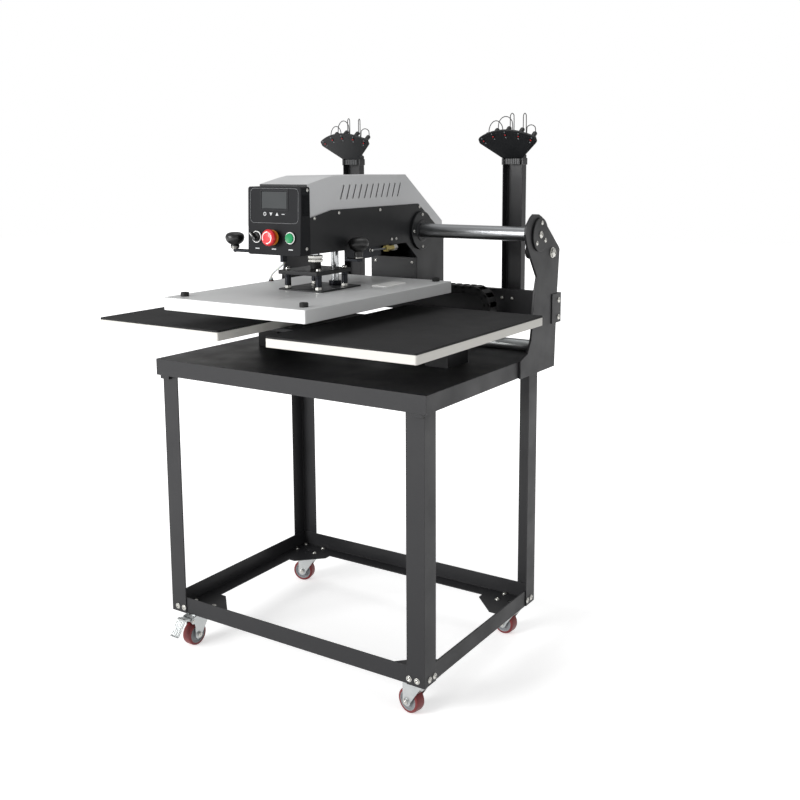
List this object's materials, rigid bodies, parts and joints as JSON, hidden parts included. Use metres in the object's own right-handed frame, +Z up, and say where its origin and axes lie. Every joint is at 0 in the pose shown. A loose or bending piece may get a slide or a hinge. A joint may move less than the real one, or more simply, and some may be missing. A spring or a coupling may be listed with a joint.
{
  "type": "dual station heat press",
  "caption": "Wheeled heat press: a pneumatic press head slides along a rod between two flat stations, with laser guide posts behind.",
  "frame": {"origin": "on the floor under the middle of the machine's bounding box", "axes": "+X to the operator's right, +Y away from the operator, +Z up"},
  "size_m": [0.9432, 0.8572, 1.4289],
  "materials": {
    "black_steel": "satin powder coat",
    "dark_plate": "satin powder coat",
    "light_cover": "satin light grey paint",
    "white_paint": "satin white powder coat",
    "aluminium": "brushed",
    "silicone": "matt black silicone foam",
    "chrome": "polished",
    "nickel": "nickel plated",
    "zinc": "zinc plated",
    "black_rubber": "matt",
    "black_plastic": "matt",
    "knob_plastic": "semi-gloss",
    "red_plastic": "gloss",
    "green_plastic": "gloss",
    "bezel_plastic": "gloss",
    "brass": "machined",
    "screen": "gloss",
    "board": "matt",
    "insulation": "fibre board",
    "tread": "polyurethane",
    "shoe": "matt",
    "white_cable": "matt"
  },
  "bodies": {
    "stand": {"table_top": "black_steel", "legs": "black_steel", "rails": "black_steel", "corner_plates": "black_steel", "stand_bolts": "nickel", "caster_plates": "zinc", "pedestals": "black_steel", "base_plate": "black_steel", "lower_platens": "aluminium", "pads": "silicone", "side_plates": "black_steel", "rear_beam": "black_steel", "beam_brackets": "black_steel", "tie_bar": "zinc", "slide_rod": "chrome", "rod_flanges": "black_steel", "stop_bumpers": "black_rubber", "frame_screws": "nickel", "laser_posts": "black_steel", "laser_heads": "black_steel", "laser_modules": "black_plastic", "laser_wires": "black_plastic", "chain_tray": "black_steel", "cable_chain": "black_plastic"},
    "head": {"head_sides": "dark_plate", "column_plates": "dark_plate", "head_cover": "light_cover", "arm_base": "dark_plate", "rod_bearings": "dark_plate", "slide_shoes": "shoe", "air_cylinder": "aluminium", "control_box": "dark_plate", "control_board": "board", "control_screen": "screen", "button_bezels": "bezel_plastic", "handle_bars": "dark_plate", "air_fitting": "brass", "head_screws": "nickel", "heater_cable": "white_cable"},
    "press": {"piston_rod": "chrome", "guide_column": "chrome", "press_plates": "dark_plate", "platen_studs": "nickel", "platen_housing": "white_paint", "heating_plate": "aluminium", "insulation": "insulation"},
    "selector": {"selector_knob": "black_plastic"},
    "estop": {"estop_button": "red_plastic"},
    "start": {"start_button": "green_plastic"},
    "knob_left": {"handle_knob_left": "knob_plastic"},
    "knob_right": {"handle_knob_right": "knob_plastic"},
    "pedal": {"brake_pedal": "zinc"},
    "fork_fl": {"caster_fork_fl": "zinc"},
    "wheel_fl": {"caster_wheel_fl": "tread"},
    "fork_fr": {"caster_fork_fr": "zinc"},
    "wheel_fr": {"caster_wheel_fr": "tread"},
    "fork_rr": {"caster_fork_rr": "zinc"},
    "wheel_rr": {"caster_wheel_rr": "tread"},
    "fork_rl": {"caster_fork_rl": "zinc"},
    "wheel_rl": {"caster_wheel_rl": "tread"}
  },
  "joints": [
    {"name": "head_slide", "type": "slide", "parent": "stand", "child": "head", "axis": [1, 0, 0], "range_m": [-0.2566, 0.2866], "deforming": ["cable_chain"]},
    {"name": "press_stroke", "type": "slide", "parent": "head", "child": "press", "axis": [0, 0, 1], "range_m": [-0.0364, 0], "stiffness_N_per_m": 3000, "springref_m": 0.12, "deforming": ["heater_cable"]},
    {"name": "selector_turn", "type": "hinge", "parent": "head", "child": "selector", "pos_m": [-0.066, -0.27183, 1.124], "axis": [0, 0.9993, -0.0372], "range_deg": [0, 90]},
    {"name": "estop_push", "type": "slide", "parent": "head", "child": "estop", "axis": [0, 0.9993, -0.0372], "range_m": [0, 0.005], "stiffness_N_per_m": 800, "springref_m": -0.004},
    {"name": "start_push", "type": "slide", "parent": "head", "child": "start", "axis": [0, 0.9993, -0.0372], "range_m": [0, 0.0035], "stiffness_N_per_m": 600, "springref_m": -0.003},
    {"name": "knob_left_spin", "type": "hinge", "parent": "head", "child": "knob_left", "pos_m": [-0.154, -0.2544, 1.11], "axis": [0, 0, 1], "continuous": true},
    {"name": "knob_right_spin", "type": "hinge", "parent": "head", "child": "knob_right", "pos_m": [0.091, -0.0754, 1.09], "axis": [0, 0, 1], "continuous": true},
    {"name": "caster_swivel_fl", "type": "hinge", "parent": "stand", "child": "fork_fl", "pos_m": [-0.3528, -0.2244, 0.087], "axis": [0, 0, 1], "continuous": true},
    {"name": "caster_roll_fl", "type": "hinge", "parent": "fork_fl", "child": "wheel_fl", "pos_m": [-0.3535, -0.24439, 0.0315], "axis": [0.9994, -0.0349, 0], "continuous": true},
    {"name": "brake_press", "type": "hinge", "parent": "fork_fl", "child": "pedal", "pos_m": [-0.35416, -0.26346, 0.0762], "axis": [0.9994, -0.0349, 0], "range_deg": [0, 14]},
    {"name": "caster_swivel_fr", "type": "hinge", "parent": "stand", "child": "fork_fr", "pos_m": [0.3528, -0.2244, 0.087], "axis": [0, 0, 1], "continuous": true},
    {"name": "caster_roll_fr", "type": "hinge", "parent": "fork_fr", "child": "wheel_fr", "pos_m": [0.33317, -0.22058, 0.0315], "axis": [-0.1908, -0.9816, 0], "continuous": true},
    {"name": "caster_swivel_rr", "type": "hinge", "parent": "stand", "child": "fork_rr", "pos_m": [0.3528, 0.2689, 0.087], "axis": [0, 0, 1], "continuous": true},
    {"name": "caster_roll_rr", "type": "hinge", "parent": "fork_rr", "child": "wheel_rr", "pos_m": [0.33288, 0.27064, 0.0315], "axis": [-0.0872, -0.9962, 0], "continuous": true},
    {"name": "caster_swivel_rl", "type": "hinge", "parent": "stand", "child": "fork_rl", "pos_m": [-0.3528, 0.2689, 0.087], "axis": [0, 0, 1], "continuous": true},
    {"name": "caster_roll_rl", "type": "hinge", "parent": "fork_rl", "child": "wheel_rl", "pos_m": [-0.37212, 0.26372, 0.0315], "axis": [0.2588, -0.9659, 0], "continuous": true}
  ]
}
